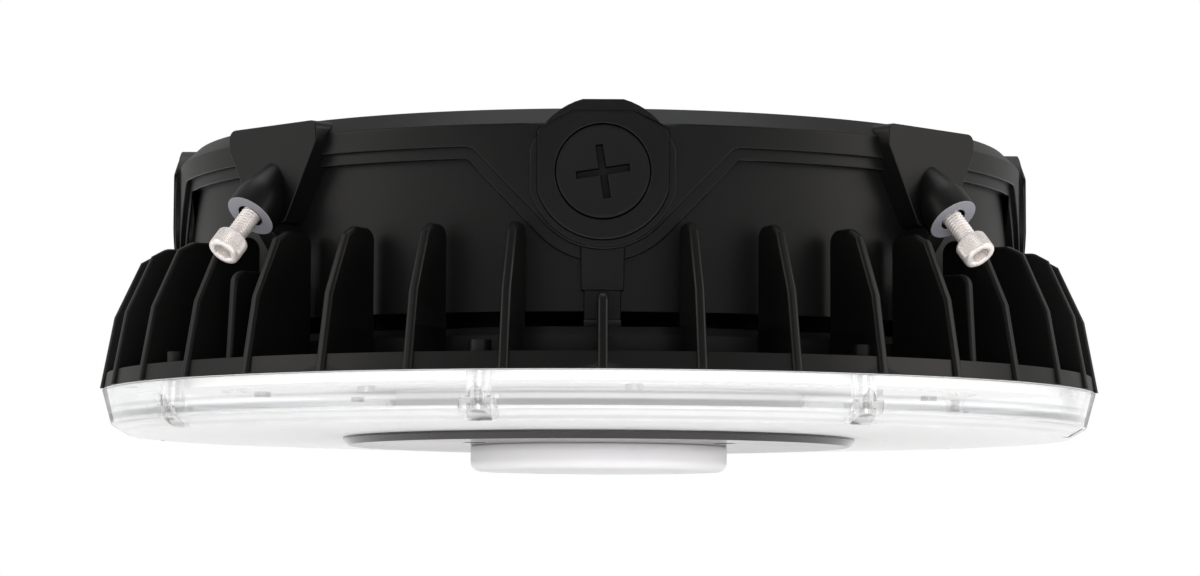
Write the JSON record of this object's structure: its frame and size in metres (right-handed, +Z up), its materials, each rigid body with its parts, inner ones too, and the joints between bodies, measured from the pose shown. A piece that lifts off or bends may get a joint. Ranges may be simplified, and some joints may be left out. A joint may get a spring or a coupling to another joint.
{
  "type": "led canopy light",
  "caption": "Round ceiling canopy light: finned heat sink, driver drum with plugged conduit hubs and slanted clamp bolts, clear dish lens, centre plate with sensor puck.",
  "frame": {"origin": "centre of the mounting plate's top face, which lies on the ceiling", "axes": "+Z up along the light's axis; -Y towards the pictured side; +X to the right in the picture"},
  "size_m": [0.3216, 0.3216, 0.1043],
  "materials": {
    "powder_coat": "fine satin powder coat, warm black",
    "plug_black": "satin black coated",
    "black_rubber": "matt silicone",
    "steel_fastener": "zinc plated",
    "stainless": "bright stainless, turned and knurled",
    "zinc_steel": "zinc plated sheet",
    "green_screw": "green passivated",
    "driver_metal": "matt",
    "terminal_plastic": "moulded",
    "thermal_pad": "soft",
    "white_board": "white solder mask",
    "led_phosphor": "yellow phosphor gel",
    "white_sheet": "matt white reflector",
    "clear_lens": "clear moulded polycarbonate",
    "grey_plate": "satin dark grey",
    "white_plastic": "moulded",
    "sensor_board": "green circuit board",
    "milky_cover": "milky translucent"
  },
  "bodies": {
    "fixture": {"heat_sink": "powder_coat", "driver_housing": "powder_coat", "column_gaskets": "black_rubber", "wire_seal": "black_rubber", "column_screws": "steel_fastener", "mounting_plate": "zinc_steel", "wire_grommet": "black_rubber", "ground_screw": "green_screw", "driver_case": "driver_metal", "driver_screws": "steel_fastener", "terminal_block": "terminal_plastic", "terminal_screws": "steel_fastener", "thermal_pad": "thermal_pad", "led_board": "white_board", "led_chips": "led_phosphor", "reflector_ring": "white_sheet", "reflector_disc": "white_sheet", "board_screws": "steel_fastener", "lens": "clear_lens", "lens_gasket": "black_rubber", "centre_gasket": "black_rubber", "lens_screws": "steel_fastener", "centre_plate": "grey_plate", "centre_plate_screws": "steel_fastener", "sensor_base": "white_plastic", "sensor_board": "sensor_board", "sensor_cover": "milky_cover"},
    "clamp_bolt_front_right": {"clamp_bolt_front_right": "stainless"},
    "clamp_bolt_back_right": {"clamp_bolt_back_right": "stainless"},
    "clamp_bolt_back_left": {"clamp_bolt_back_left": "stainless"},
    "clamp_bolt_front_left": {"clamp_bolt_front_left": "stainless"},
    "conduit_plug_front": {"conduit_plug_front": "plug_black"},
    "conduit_plug_right": {"conduit_plug_right": "plug_black"},
    "conduit_plug_back": {"conduit_plug_back": "plug_black"},
    "conduit_plug_left": {"conduit_plug_left": "plug_black"}
  },
  "joints": [
    {"name": "clamp_bolt_front_right_run", "type": "slide", "parent": "fixture", "child": "clamp_bolt_front_right", "axis": [-0.4658, 0.4658, 0.7524], "range_m": [0, 0.0092]},
    {"name": "clamp_bolt_back_right_run", "type": "slide", "parent": "fixture", "child": "clamp_bolt_back_right", "axis": [-0.4658, -0.4658, 0.7524], "range_m": [0, 0.0092]},
    {"name": "clamp_bolt_back_left_run", "type": "slide", "parent": "fixture", "child": "clamp_bolt_back_left", "axis": [0.4658, -0.4658, 0.7524], "range_m": [0, 0.0092]},
    {"name": "clamp_bolt_front_left_run", "type": "slide", "parent": "fixture", "child": "clamp_bolt_front_left", "axis": [0.4658, 0.4658, 0.7524], "range_m": [0, 0.0092]},
    {"name": "conduit_plug_front_out", "type": "slide", "parent": "fixture", "child": "conduit_plug_front", "axis": [0, -1, 0], "range_m": [0, 0.02]},
    {"name": "conduit_plug_right_out", "type": "slide", "parent": "fixture", "child": "conduit_plug_right", "axis": [1, 0, 0], "range_m": [0, 0.02]},
    {"name": "conduit_plug_back_out", "type": "slide", "parent": "fixture", "child": "conduit_plug_back", "axis": [0, 1, 0], "range_m": [0, 0.02]},
    {"name": "conduit_plug_left_out", "type": "slide", "parent": "fixture", "child": "conduit_plug_left", "axis": [-1, 0, 0], "range_m": [0, 0.02]}
  ]
}
